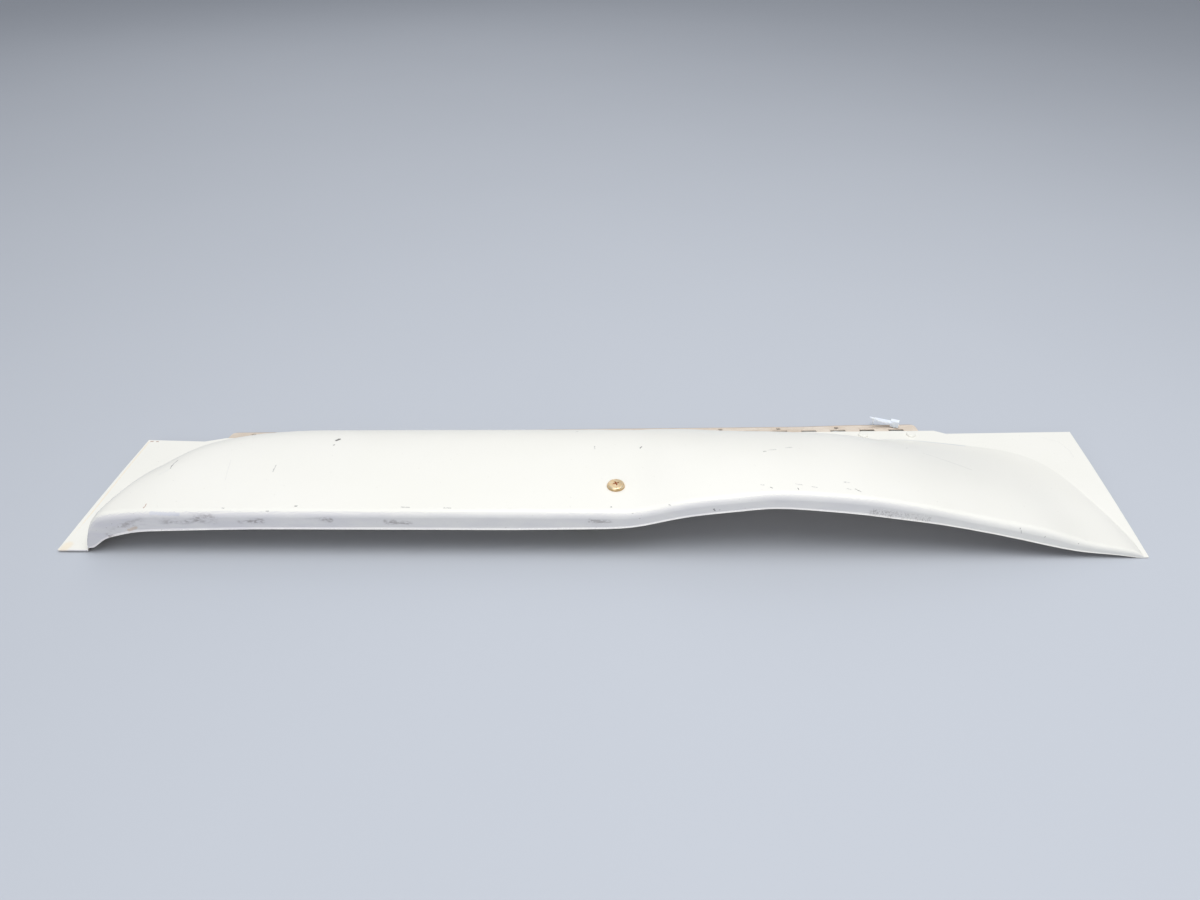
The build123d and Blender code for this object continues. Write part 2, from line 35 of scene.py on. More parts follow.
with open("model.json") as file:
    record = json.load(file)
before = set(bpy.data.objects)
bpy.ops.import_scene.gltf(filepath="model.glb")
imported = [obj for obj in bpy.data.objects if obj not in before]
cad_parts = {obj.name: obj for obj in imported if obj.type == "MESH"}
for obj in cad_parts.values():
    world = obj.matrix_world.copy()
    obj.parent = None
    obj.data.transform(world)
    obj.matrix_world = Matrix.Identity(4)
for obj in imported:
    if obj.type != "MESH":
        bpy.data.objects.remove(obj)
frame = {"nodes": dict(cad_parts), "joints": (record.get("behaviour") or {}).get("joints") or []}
nodes = frame["nodes"]
cad_low, cad_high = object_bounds()
hinge_line = Vector(frame["joints"][0]["pos_m"])
print("CAD box in mm:", [round(v / MM) for v in cad_high - cad_low])

# %% [markdown]
# ## The camera
# A photograph can be matched by solving for its camera. Here the knuckles of the
# hinge, which repeat every half inch, gave the scale, and the door's two long edges
# gave the height and the tilt. The camera stands in front of the free edge, looks
# down at it, and is turned a little to the right. Its focal length was found in
# pixels, and the widths of image and sensor turn that into millimetres.

# %% Camera
IMAGE_WIDTH = 1200
IMAGE_HEIGHT = 900
FOCAL_PIXELS = 901
SENSOR_WIDTH = 36
camera_height = 446 * MM
camera_distance = 642.34 * MM
camera_side = -14.89 * MM
camera_pitch = radians(35.5)
camera_yaw = radians(1.0627)

camera_data = bpy.data.cameras.new("camera")
camera_data.sensor_width = SENSOR_WIDTH
camera_data.lens = SENSOR_WIDTH * FOCAL_PIXELS / IMAGE_WIDTH
camera = bpy.data.objects.new("camera", camera_data)
camera.location = (camera_side, hinge_line.y - camera_distance, camera_height)
camera.rotation_euler = (pi / 2 - camera_pitch, 0, -camera_yaw)
bpy.context.collection.objects.link(camera)
bpy.context.scene.camera = camera
bpy.context.view_layer.update()
print("camera lens", round(camera_data.lens, 2), "mm")


# %% [markdown]
# ## From a pixel to the surface
# Small marks are easiest to find in the photograph. A ray through a pixel meets the
# door at one point, and that point is where the mark belongs on the object, so the
# mark stays in its place when the camera moves. The materials hold only the points
# that the rays have found.


# %% Ray through a pixel
def surface_tree(name):
    """Search tree over the triangles of one CAD node."""
    mesh = nodes[name].data
    triangles = [list(p.vertices) for p in mesh.polygons]
    return BVHTree.FromPolygons([v.co.copy() for v in mesh.vertices], triangles)


skin_tree = surface_tree("door_skin")
view_turn = camera.matrix_world.to_3x3()


def on_skin(pixel):
    """Point where the ray through a pixel of the photograph meets the door's skin.

    The direction runs one focal length forward and the pixel's offset from the middle
    of the image sideways and up. A ray that just misses the edge takes the nearest
    point of the skin instead.
    """
    right = pixel[0] - IMAGE_WIDTH / 2
    up = IMAGE_HEIGHT / 2 - pixel[1]
    direction = (view_turn @ Vector((right, up, -FOCAL_PIXELS))).normalized()
    hit = skin_tree.ray_cast(camera.location, direction)[0]
    if hit is None:
        floor_point = camera.location - direction * camera.location.z / direction.z
        hit = skin_tree.find_nearest(floor_point)[0]
    return hit


middle = on_skin((IMAGE_WIDTH / 2, IMAGE_HEIGHT / 2))
print("middle of the image on the skin, in mm:", [round(v / MM, 1) for v in middle])


# %% [markdown]
# ## Small helpers for node trees
# A procedural finish is a tree of nodes. Adding a node, setting its options and
# feeding its inputs takes many lines, so one helper does all three. Effects that more
# than one material needs go into a node group, which gives back only masks, heights
# and tones; the shader itself stays in each material.


# %% Node helpers
def feed(tree, socket, value):
    """Link a socket to another one, or set its value."""
    if isinstance(value, bpy.types.NodeSocket):
        tree.links.new(value, socket)
    else:
        socket.default_value = value


def add(tree, kind, inputs=None, **options):
    """Add a node, set its options, and feed each named input."""
    node = tree.nodes.new("ShaderNode" + kind)
    for name, value in options.items():
        setattr(node, name, value)
    for key, value in (inputs or {}).items():
        feed(tree, node.inputs[key], value)
    return node


def calc(tree, operation, *values):
    """Result of one math node."""
    return add(tree, "Math", dict(enumerate(values)), operation=operation).outputs[0]


def vector_calc(tree, operation, *values):
    """Outputs of a vector math node: the first is a vector, the second a number."""
    return add(tree, "VectorMath", dict(enumerate(values)), operation=operation).outputs


def scaled(tree, vector, factor):
    """A vector times a number."""
    inputs = {0: vector, "Scale": factor}
    return add(tree, "VectorMath", inputs, operation="SCALE").outputs[0]


def part(tree, vector, axis):
    """One of the three numbers of a vector."""
    return add(tree, "SeparateXYZ", {0: vector}).outputs[axis]


def ramp(tree, value, start, end, low=0.0, high=1.0):
    """Smooth step of a value from one level to another."""
    inputs = {"Value": value, 1: start, 2: end, 3: low, 4: high}
    return add(tree, "MapRange", inputs, interpolation_type="SMOOTHSTEP").outputs[0]


def blend(tree, factor, first, second):
    """Colour between two colours."""
    node = add(tree, "Mix", {0: factor}, data_type="RGBA")
    feed(tree, node.inputs[6], first)
    feed(tree, node.inputs[7], second)
    return node.outputs[2]


def tint(tree, tone, mask, strength, colour):
    """Tone that goes towards a colour by the mask times a strength."""
    return blend(tree, calc(tree, "MULTIPLY", mask, strength), tone, colour)


def noise(tree, position, scale, detail=2.0, stretch=(1, 1, 1)):
    """Noise in 0..1 at a number of waves to the metre, stretched along the axes."""
    if stretch != (1, 1, 1):
        position = vector_calc(tree, "MULTIPLY", position, stretch)[0]
    inputs = {"Vector": position, "Scale": scale, "Detail": detail, "Roughness": 0.55}
    return add(tree, "TexNoise", inputs).outputs[0]


def new_group(name, inputs, outputs):
    """Empty node group with typed sockets, and its input and output nodes."""
    group = bpy.data.node_groups.new(name, "ShaderNodeTree")
    for side, sockets in (("INPUT", inputs), ("OUTPUT", outputs)):
        for label, kind in sockets.items():
            socket_type = "NodeSocket" + kind
            group.interface.new_socket(label, in_out=side, socket_type=socket_type)
    return group, group.nodes.new("NodeGroupInput"), group.nodes.new("NodeGroupOutput")


def use(tree, group, **inputs):
    """Outputs of a group node; an underscore in an input's name stands for a space."""
    node = tree.nodes.new("ShaderNodeGroup")
    node.node_tree = group
    for name, value in inputs.items():
        feed(tree, node.inputs[name.replace("_", " ")], value)
    return node.outputs


# %% [markdown]
# ## Effects that several finishes share
# A stroke is everything near a straight line between two points: a scratch if it is
# thin, a scuff if it is wide and soft, a chip if it is short. Its mask comes from the
# distance to the nearest point of the line, and runs out around the half width.

# %% Stroke
stroke_group, start_node, end_node = new_group(
    "stroke",
    {"Position": "Vector", "Start": "Vector", "End": "Vector", "Half Width": "Float"},
    {"Mask": "Float"},
)
place, begin, finish, half_width = start_node.outputs[:4]
along_line = vector_calc(stroke_group, "SUBTRACT", finish, begin)[0]
from_begin = vector_calc(stroke_group, "SUBTRACT", place, begin)[0]
part_way = vector_calc(stroke_group, "DOT_PRODUCT", from_begin, along_line)[1]
whole_way = vector_calc(stroke_group, "DOT_PRODUCT", along_line, along_line)[1]
share = calc(stroke_group, "DIVIDE", part_way, whole_way)
share = add(stroke_group, "Clamp", {"Value": share}).outputs[0]
foot = scaled(stroke_group, along_line, share)
away = vector_calc(stroke_group, "DISTANCE", from_begin, foot)[1]
level = calc(stroke_group, "DIVIDE", away, half_width)
mask = ramp(stroke_group, level, 0.4, 1.3, low=1.0, high=0.0)
stroke_group.links.new(mask, end_node.inputs[0])

# %% [markdown]
# Specks are dots around the centres of random cells, and only a share of the cells
# has one. Sprayed paint is never quite flat: fine orange peel lies on slow waves, and
# the tone drifts. Cadmium plate is yellow in places and grey in others.

# %% Specks
speck_group, start_node, end_node = new_group(
    "specks",
    {"Position": "Vector", "Per Metre": "Float", "Size": "Float", "Share": "Float"},
    {"Mask": "Float"},
)
place, per_metre, dot_size, dot_share = start_node.outputs[:4]
cells = add(speck_group, "TexVoronoi", {"Vector": place, "Scale": per_metre})
near = calc(speck_group, "LESS_THAN", cells.outputs["Distance"], dot_size)
cell_number = add(speck_group, "SeparateColor", {0: cells.outputs["Color"]}).outputs[0]
picked = calc(speck_group, "LESS_THAN", cell_number, dot_share)
speck_group.links.new(calc(speck_group, "MULTIPLY", near, picked), end_node.inputs[0])

# %% Sprayed paint
PEEL_SHARE = 0.12

spray_group, start_node, end_node = new_group(
    "sprayed paint", {"Position": "Vector"}, {"Height": "Float", "Tone": "Float"}
)
place = start_node.outputs[0]
peel = noise(spray_group, place, 420, 1.0)
waves = noise(spray_group, place, 26, 1.0, (0.6, 1, 1))
paint_height = calc(spray_group, "MULTIPLY_ADD", peel, PEEL_SHARE, waves)
spray_group.links.new(paint_height, end_node.inputs[0])
spray_group.links.new(noise(spray_group, place, 9, 3.0), end_node.inputs[1])

# %% Plating
GREY_PLATE = (0.92, 0.78, 0.54, 1)
YELLOW_PLATE = (0.96, 0.69, 0.38, 1)

plate_group, start_node, end_node = new_group(
    "cadmium plate", {"Position": "Vector"}, {"Color": "Color", "Roughness": "Float"}
)
place = start_node.outputs[0]
patches = noise(plate_group, place, 380, 3.0)
grain = noise(plate_group, place, 2600, 2.0)
yellow = ramp(plate_group, patches, 0.3, 0.7)
plate_tone = blend(plate_group, yellow, GREY_PLATE, YELLOW_PLATE)
plate_roughness = ramp(plate_group, grain, 0.3, 0.75, low=0.28, high=0.5)
plate_group.links.new(plate_tone, end_node.inputs[0])
plate_group.links.new(plate_roughness, end_node.inputs[1])
print("node groups:", sorted(g.name for g in bpy.data.node_groups))


# %% [markdown]
# ## A finish for each node
# Every finish starts from the same parts: object coordinates in metres, so that a
# pattern has its real size and stays on the piece, and one principled shader.


# %% New finish
def new_finish(name):
    """Material with its tree, its shader and its object coordinates."""
    material = bpy.data.materials.new(name)
    material.use_nodes = True
    tree = material.node_tree
    place = add(tree, "TexCoord").outputs["Object"]
    return material, tree, tree.nodes["Principled BSDF"], place


def give(node_name, material):
    """Put a material on a CAD node."""
    for slot in nodes[node_name].material_slots:
        slot.material = material
    print(node_name, "gets", material.name, "with", len(material.node_tree.nodes), "nodes")


def roughen(tree, shader, height, depth):
    """Feed the shader's normal from a height field whose full range is a depth."""
    node = add(tree, "Bump", {"Height": height, "Distance": depth})
    tree.links.new(node.outputs[0], shader.inputs["Normal"])


# %% [markdown]
# ## Marks on the white skin
# The real door has a working life behind it: dark chips, fine scratches and grey rub
# marks on the turned-down lip. Each mark is a line of points in the photograph, a half
# width in millimetres and a kind. The kind says which colour the mark shows.

# %% Marks seen in the photograph
marks = [
    ("dark", 1.3, [(336.5, 440.4), (339.5, 439.2)]),
    ("dark", 0.6, [(333.5, 445.2), (334.5, 444.8)]),
    ("grey", 0.45, [(273, 471.5), (276, 465)]),
    ("dark", 0.4, [(170, 468.5), (173, 464.5)]),
    ("grey", 0.45, [(173, 464.5), (178, 460)]),
    ("haze", 1.5, [(160, 474), (168, 470)]),
    ("rust", 0.5, [(143.5, 508), (146.5, 504)]),
    ("blue", 1.5, [(151, 513), (166, 514), (178, 514.4)]),
    ("grey", 0.6, [(222, 508), (224, 508)]),
    ("grey", 0.6, [(266, 511), (268, 511)]),
    ("dark", 0.5, [(295, 506), (297, 506)]),
    ("grey", 0.5, [(401, 507), (409, 507.4)]),
    ("grey", 0.5, [(444, 508), (451, 508)]),
    ("grey", 0.5, [(576, 431.8), (578, 431.6)]),
    ("grey", 0.4, [(594.4, 446), (595, 449)]),
    ("dark", 0.45, [(640.2, 448.2), (641.6, 446.6)]),
    ("dark", 0.4, [(610.8, 507), (611.8, 507)]),
    ("grey", 0.5, [(669, 505), (670.4, 505)]),
    ("dark", 0.5, [(713.8, 509), (714.6, 510.4)]),
    ("dark", 0.5, [(764, 451.4), (766, 451.2)]),
    ("grey", 0.45, [(768, 450.2), (776, 449.4)]),
    ("grey", 0.4, [(786, 447.8), (792, 447.2)]),
    ("grey", 0.4, [(761, 484.6), (764, 485)]),
    ("dark", 0.4, [(770.5, 487), (772, 488)]),
    ("grey", 0.4, [(796, 484), (802, 485)]),
    ("dark", 0.45, [(798, 488.2), (799, 489.4)]),
    ("grey", 0.4, [(812, 486.6), (817, 487.4)]),
    ("grey", 0.4, [(844, 482), (850, 482.6)]),
    ("grey", 0.4, [(847, 488.6), (852, 489.6)]),
    ("dark", 0.4, [(855, 489), (861, 491.8)]),
    ("line", 0.3, [(923, 453), (947, 461), (972, 470)]),
    ("grey", 0.5, [(906, 448), (908, 448)]),
    ("dark", 0.4, [(1020.4, 528), (1021.4, 533)]),
    ("faint", 0.3, [(1040, 437), (1059, 442), (1070, 451), (1074, 458)]),
    ("faint", 0.3, [(231, 460), (228, 469), (225, 480)]),
    ("rust", 0.8, [(151, 441.4), (153, 441.4)]),
    ("rust", 0.6, [(156.6, 441.6), (158.4, 441.6)]),
    ("amber", 0.7, [(62, 551), (95.5, 508.4), (149, 442)]),
    ("amber", 4.0, [(63, 550), (68, 545)]),
    ("scuff", 4.5, [(112, 535), (126, 527), (150, 521), (212, 519)]),
    ("scuff", 2.5, [(240, 521), (262, 521)]),
    ("scuff", 2.5, [(298, 520), (330, 520)]),
    ("scuff", 2.5, [(386, 522), (410, 522)]),
    ("scuff", 2.0, [(590, 521), (611, 522)]),
    ("hatch", 3.2, [(873, 512), (898, 515), (927, 519)]),
    ("chip", 1.3, [(129, 530), (136, 527.6)]),
]
print(len(marks), "marks")

# %% [markdown]
# Three lines follow the shape of the door, so they are measured on it. Painted shade lies in the
# crease at the left end of the blister: the walk along a row of pixels starts on the
# flat flange and stops where the sheet rises. A soft painted shade lies in the crease behind
# the blister, and that walk looks straight down. It starts in front of the rivets,
# because a ray would fall through their holes, and moves away from the hinge. Along the
# rim of the lip a thin painted highlight of clean white is drawn. There a
# ray is sent straight at the lip from in front, a little higher each time, until it
# meets the sheet.

# %% Creases and rim
CREASE_RISE = 0.25 * MM
PIXEL_STEP = 0.5
REAR_STEP = 0.25 * MM
RIM_STEP = 0.1 * MM
REAR_WALK_START = 10 * MM
FLANGE_PIXELS = [
    (72, 545), (80, 535), (88, 523), (97, 511), (110, 494),
    (120, 482), (130, 471), (141, 458), (148, 450),
]
REAR_STATIONS = [205, 222, 240, 258, 276, 292, 305]
RIM_STATIONS = [
    -372, -362, -350, -330, -290, -200, -80, 10, 30, 50,
    75, 105, 140, 180, 215, 250, 285, 320, 350, 375,
]
screw_low, screw_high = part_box("bracket_screw")
screw_axis = (screw_low + screw_high) / 2


def left_crease_point(start):
    """First point right of a pixel where the skin has left the flange's plane."""
    column, row = start
    hit = on_skin(start)
    level = hit.z
    while hit.z < level + CREASE_RISE:
        column += PIXEL_STEP
        hit = on_skin((column, row))
    return hit


def rear_crease_point(x):
    """Point in front of the rivets where the flange starts to rise, at one place."""
    down = Vector((0, 0, -1))
    y = hinge_line.y - REAR_WALK_START
    hit = skin_tree.ray_cast(Vector((x, y, 1)), down)[0]
    level = hit.z
    while hit.z < level + CREASE_RISE:
        y -= REAR_STEP
        hit = skin_tree.ray_cast(Vector((x, y, 1)), down)[0]
    return hit


def rim_point(x):
    """Lowest point of the lip at one place along the door."""
    back = Vector((0, 1, 0))
    level = RIM_STEP
    while True:
        hit = skin_tree.ray_cast(Vector((x, 2 * cad_low.y, level)), back)[0]
        if hit is not None and hit.y < screw_axis.y:
            return hit
        level += RIM_STEP


left_crease = [left_crease_point(start) for start in FLANGE_PIXELS]
rear_crease = [rear_crease_point(x * MM) for x in REAR_STATIONS]
rim = [rim_point(x * MM) for x in RIM_STATIONS]
lines = {"left crease": left_crease, "rear crease": rear_crease, "rim": rim}
for title, line in lines.items():
    print(title, "in mm:", [tuple(round(v / MM, 1) for v in point) for point in line])


# %% [markdown]
# ## White enamel
# The enamel is a warm white. It is sprayed, so it drifts between two tones, and a few
# specks of dust dried in it. The skin, the painted half of the hinge and its rivets
# share this start, and each goes on from there. Two more helpers join strokes: one
# along a row of points, and one for all marks of a kind. Where strokes cross, the
# stronger one counts, so a crossing isn't darker than its lines.


# %% White enamel
WHITE_DEEP = (0.84, 0.83, 0.76, 1)
WHITE_PALE = (0.89, 0.88, 0.83, 1)
DUST = (0.42, 0.38, 0.33, 1)


def white_enamel(name):
    """Gloss white paint with orange peel, drift of tone and a little dust."""
    material, tree, shader, place = new_finish(name)
    sprayed = use(tree, spray_group, Position=place)
    dust = use(tree, speck_group, Position=place, Per_Metre=260, Size=0.09, Share=0.12)[0]
    tone = blend(tree, sprayed["Tone"], WHITE_DEEP, WHITE_PALE)
    tone = tint(tree, tone, dust, 0.35, DUST)
    gloss = ramp(tree, sprayed["Tone"], 0.3, 0.7, low=0.3, high=0.42)
    return material, tree, shader, place, sprayed, tone, gloss


def along(tree, place, points, half):
    """Greatest mask of the strokes that join a row of points."""
    total = 0.0
    for a, b in zip(points, points[1:]):
        stroke = use(tree, stroke_group, Position=place, Start=a, End=b, Half_Width=half)
        total = calc(tree, "MAXIMUM", stroke[0], total)
    return total


def marks_of(tree, place, kind):
    """Greatest mask of all marks of one kind."""
    total = 0.0
    for mark_kind, half, pixels in marks:
        if mark_kind == kind:
            points = [on_skin(pixel) for pixel in pixels]
            total = calc(tree, "MAXIMUM", along(tree, place, points, half * MM), total)
    return total


# %% [markdown]
# The skin needs to know where it is. A face that points down is inside. Near the lip,
# where the sheet stands on edge, a face that points back is inside too. The lip is the
# part of the outer face that points to the front. Positions that noise has pushed
# aside by up to a millimetre give chips and scuffs their ragged edges.

# %% Places on the skin
RAGGED_RANGE = 2.2 * MM
LIP_FADE_START = 14 * MM
LIP_FADE_END = 12 * MM
LEFT_END_START, LEFT_END_FULL = -0.12, -0.26
RIGHT_END_START, RIGHT_END_FULL = 0.12, 0.34

material, tree, shader, place, sprayed, tone, gloss = white_enamel("white_paint")
wobble = add(tree, "TexNoise", {"Vector": place, "Scale": 900.0, "Detail": 3.0}).outputs[1]
wobble = vector_calc(tree, "SUBTRACT", wobble, (0.5, 0.5, 0.5))[0]
ragged = vector_calc(tree, "ADD", place, scaled(tree, wobble, RAGGED_RANGE))[0]
normal = add(tree, "NewGeometry").outputs["True Normal"]
upward = part(tree, normal, 2)
backward = part(tree, normal, 1)
depth = part(tree, place, 1)
near_lip = ramp(tree, depth, cad_low.y + LIP_FADE_START, cad_low.y + LIP_FADE_END)
inward = calc(tree, "MULTIPLY", backward, near_lip)
outside = ramp(tree, calc(tree, "SUBTRACT", upward, inward), -0.03, 0.0)
lip = ramp(tree, backward, -0.45, -0.9)
length = part(tree, place, 0)
left_end = ramp(tree, length, LEFT_END_START, LEFT_END_FULL)
right_end = ramp(tree, length, RIGHT_END_START, RIGHT_END_FULL)
print("sheet stands on edge in front of", round((cad_low.y + LIP_FADE_END) / MM, 1), "mm")

# %% [markdown]
# A lavender grey is painted on the lip: painted shade with a blue painted reflection on the face
# that points to the front.
# It is stronger at the left end and weaker at the right one, and slow patches of noise make it
# uneven.
# The painted shade in the two creases comes next, and then each kind of mark with its own colour
# and strength.

# %% Painted lip shade, crease shade and marks
# Painted shade with a painted blue reflection on the lip, then painted shade in the creases.
LIP_SHADE_TINT = (0.56, 0.55, 0.62, 1)
LIP_SHADE_STRENGTH = 0.42
LIP_SHADE_LEFT_GAIN = 0.16
LIP_SHADE_RIGHT_LOSS = 0.32
# Painted shade along the crease at the left end of the blister.
LEFT_CREASE_SHADE = (0.34, 0.37, 0.42, 1)
LEFT_CREASE_SHADE_HALF = 0.45 * MM
REAR_SHADE = (0.52, 0.55, 0.64, 1)
REAR_SHADE_HALF = 1.2 * MM
LOOKS = {
    "haze": (place, (0.55, 0.57, 0.62, 1), 0.09),
    "line": (place, (0.36, 0.36, 0.36, 1), 0.55),
    "faint": (ragged, (0.48, 0.48, 0.50, 1), 0.28),
    "grey": (ragged, (0.26, 0.26, 0.26, 1), 0.60),
    "dark": (ragged, (0.05, 0.05, 0.045, 1), 0.90),
    "blue": (ragged, (0.50, 0.54, 0.68, 1), 0.36),
    "rust": (ragged, (0.36, 0.17, 0.10, 1), 0.75),
    "amber": (ragged, (0.88, 0.64, 0.30, 1), 0.28),
    "chip": (ragged, (0.62, 0.50, 0.40, 1), 0.70),
}

patches = noise(tree, place, 42, 5.0, (1, 2.5, 3))
# The lip's painted shade: stronger at the left end, weaker at the right end, uneven with noise.
lip_shade = calc(tree, "MULTIPLY_ADD", left_end, LIP_SHADE_LEFT_GAIN, LIP_SHADE_STRENGTH)
lip_shade = calc(tree, "MULTIPLY_ADD", right_end, -LIP_SHADE_RIGHT_LOSS, lip_shade)
unevenness = ramp(tree, patches, 0.25, 0.7, low=0.75, high=1.15)
lip_shade = calc(tree, "MULTIPLY", lip_shade, unevenness)
tone = tint(tree, tone, lip, lip_shade, LIP_SHADE_TINT)
# Painted shade in the left crease.
left_crease_shade = along(tree, place, left_crease, LEFT_CREASE_SHADE_HALF)
tone = tint(tree, tone, left_crease_shade, 0.65, LEFT_CREASE_SHADE)
rear_shade = along(tree, place, rear_crease, REAR_SHADE_HALF)
tone = tint(tree, tone, rear_shade, 0.4, REAR_SHADE)
for kind, (where, colour, strength) in LOOKS.items():
    tone = tint(tree, tone, marks_of(tree, where, kind), strength, colour)
print(len(LOOKS), "kinds of marks drawn")

# %% [markdown]
# Scuffs and the rubbed patch on the right part of the lip aren't solid. Two noises
# break the scuffs up, slanted fine lines fill the patch, and small specks lie all
# over the lip. Grime is also duller than paint.

# %% Grime on the lip
GRIME = (0.20, 0.17, 0.16, 1)
GRIME_ROUGHNESS = 0.6
SLANT_ANGLE = 0.8
SPECK_STRENGTH = 0.8

fine = noise(tree, place, 330, 3.0, (1, 2, 2))
gaps = ramp(tree, fine, 0.36, 0.60)
broken = calc(tree, "MULTIPLY", ramp(tree, patches, 0.40, 0.62), gaps)
rubbed = calc(tree, "MULTIPLY", marks_of(tree, ragged, "scuff"), broken)
slant = {"Vector": ragged, "Rotation": (0, SLANT_ANGLE, 0), "Scale": (1, 1, 0.4)}
slanted = add(tree, "Mapping", slant).outputs[0]
hatch_lines = ramp(tree, noise(tree, slanted, 1300, 3.0), 0.42, 0.66)
hatch_gaps = ramp(tree, patches, 0.3, 0.55, low=0.35, high=0.9)
hatch_lines = calc(tree, "MULTIPLY", hatch_lines, hatch_gaps)
hatched = calc(tree, "MULTIPLY", marks_of(tree, ragged, "hatch"), hatch_lines)
specks = use(tree, speck_group, Position=ragged, Per_Metre=230, Size=0.13, Share=0.16)[0]
specks = calc(tree, "MULTIPLY", specks, SPECK_STRENGTH)
grime = calc(tree, "MAXIMUM", calc(tree, "MAXIMUM", rubbed, hatched), specks)
grime = calc(tree, "MULTIPLY", grime, lip)
tone = tint(tree, tone, grime, 0.62, GRIME)
dull = calc(tree, "MAXIMUM", gloss, calc(tree, "MULTIPLY", grime, GRIME_ROUGHNESS))
print("nodes in the skin's paint so far:", len(tree.nodes))

# %% [markdown]
# A thin painted highlight of brighter white runs along the rim of the lip, and the inner face
# shows the beige primer that lies under the enamel.

# %% Painted rim highlight and inner face
RIM_HIGHLIGHT = (0.92, 0.92, 0.88, 1)
RIM_HIGHLIGHT_HALF = 0.55 * MM
INNER_DEEP = (0.66, 0.56, 0.45, 1)
INNER_PALE = (0.74, 0.65, 0.55, 1)

# Painted highlight: a thin line of brighter white along the rim of the lip.
tone = tint(tree, tone, along(tree, ragged, rim, RIM_HIGHLIGHT_HALF), 0.75, RIM_HIGHLIGHT)
inner_tone = blend(tree, sprayed["Tone"], INNER_DEEP, INNER_PALE)
tree.links.new(blend(tree, outside, inner_tone, tone), shader.inputs["Base Color"])
tree.links.new(dull, shader.inputs["Roughness"])
roughen(tree, shader, sprayed["Height"], 0.35 * MM)
give("door_skin", material)

# %% [markdown]
# The fixed half of the hinge and its rivets were sprayed together with the skin, from
# outside. Paint reaches their upper sides and the backs of the knuckles, and primer
# still shows underneath.

# %% Painted hinge half and rivets
UNPAINTED = (0.70, 0.60, 0.49, 1)
PAINT_LINE_START = 4.2 * MM
PAINT_LINE_END = 4.45 * MM
BACK_START = hinge_line.y - 1.5 * MM
BACK_END = hinge_line.y - 1.4 * MM

for name, node_name in (
    ("white_paint_hinge", "hinge_leaf_door"),
    ("white_paint_rivets", "hinge_rivets"),
):
    material, tree, shader, place, sprayed, tone, gloss = white_enamel(name)
    back = ramp(tree, part(tree, place, 1), BACK_START, BACK_END)
    above = ramp(tree, part(tree, place, 2), PAINT_LINE_START, PAINT_LINE_END)
    painted = calc(tree, "MAXIMUM", above, back)
    tree.links.new(blend(tree, painted, UNPAINTED, tone), shader.inputs["Base Color"])
    tree.links.new(gloss, shader.inputs["Roughness"])
    roughen(tree, shader, sprayed["Height"], 0.25 * MM)
    give(node_name, material)


# %% [markdown]
# ## Primer
# The loose half of the hinge was never painted white. It shows matte beige primer with
# a few fine scratches and dark specks, and it turns darker brown along its rear
# edge. The bracket inside is out of sight, and has a green primer of the same kind.


# %% Primer
BEIGE_PALE = (0.80, 0.72, 0.62, 1)
BEIGE_DEEP = (0.68, 0.57, 0.46, 1)
GREEN_PALE = (0.52, 0.50, 0.24, 1)
GREEN_DEEP = (0.40, 0.39, 0.17, 1)
SCRATCHED = (0.32, 0.22, 0.15, 1)
SPOTS = (0.20, 0.16, 0.12, 1)
REAR_EDGE_BROWN = (0.34, 0.25, 0.19, 1)
SCRATCH_LEVEL = 0.5
SCRATCH_WIDTH = 0.012
EDGE_BROWN_START = 1.6 * MM
EDGE_BROWN_END = 0.3 * MM


def primer_finish(name, node_name, pale, deep):
    """Matte primer with cloudy tone, fine scratches, dark specks and a brown rear edge."""
    material, tree, shader, place = new_finish(name)
    clouds = noise(tree, place, 60, 4.0, (0.5, 1, 1))
    tone = blend(tree, ramp(tree, clouds, 0.3, 0.7), deep, pale)
    streaks = noise(tree, place, 240, 2.0, (0.25, 4, 4))
    scratches = calc(tree, "COMPARE", streaks, SCRATCH_LEVEL, SCRATCH_WIDTH)
    tone = tint(tree, tone, scratches, 0.35, SCRATCHED)
    spots = use(tree, speck_group, Position=place, Per_Metre=420, Size=0.16, Share=0.16)[0]
    tone = tint(tree, tone, spots, 0.6, SPOTS)
    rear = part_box(node_name)[1].y
    # Darker brown along the rear edge of the sheet.
    near_edge = ramp(tree, part(tree, place, 1), rear - EDGE_BROWN_START, rear - EDGE_BROWN_END)
    edge_brown_share = ramp(tree, clouds, 0.35, 0.6, low=0.3, high=0.85)
    tone = tint(tree, tone, near_edge, edge_brown_share, REAR_EDGE_BROWN)
    matte = ramp(tree, clouds, 0.3, 0.7, low=0.55, high=0.72)
    tree.links.new(tone, shader.inputs["Base Color"])
    tree.links.new(matte, shader.inputs["Roughness"])
    roughen(tree, shader, noise(tree, place, 1100, 2.0), 0.06 * MM)
    give(node_name, material)


primer_finish("beige_primer", "hinge_leaf_frame", BEIGE_PALE, BEIGE_DEEP)
primer_finish("primed_bracket", "link_bracket", GREEN_PALE, GREEN_DEEP)

# %% [markdown]
# ## Plated steel
# Screw, cup, washer and nut are cadmium plated and gone yellow. Painted shade makes
# the screw's recess and the cup's outer edge darker and redder. The recess is found by its depth
# below the top of the screw, and the edge by its distance from the screw's axis. The pin of the
# hinge is bare steel.

# %% Screw, cup, washer and nut
# Painted shade in the screw's recess and along the outer edges of cup, washer and nut.
RECESS_SHADE_RED = (0.66, 0.28, 0.17, 1)
EDGE_SHADE_BROWN = (0.46, 0.29, 0.12, 1)
PLATE_SHADE_STRENGTH = 0.8
METALLIC_PLATE = 0.85

cup_low, cup_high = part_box("cup_washer")
cup_radius = (cup_high.x - cup_low.x) / 2
RECESS_START = screw_high.z - 0.9 * MM
RECESS_END = screw_high.z - 1.6 * MM
CUP_EDGE = 0.5 * MM
WASHER_START = 5.0 * MM
WASHER_END = 5.6 * MM
print("cup radius in mm:", round(cup_radius / MM, 2))


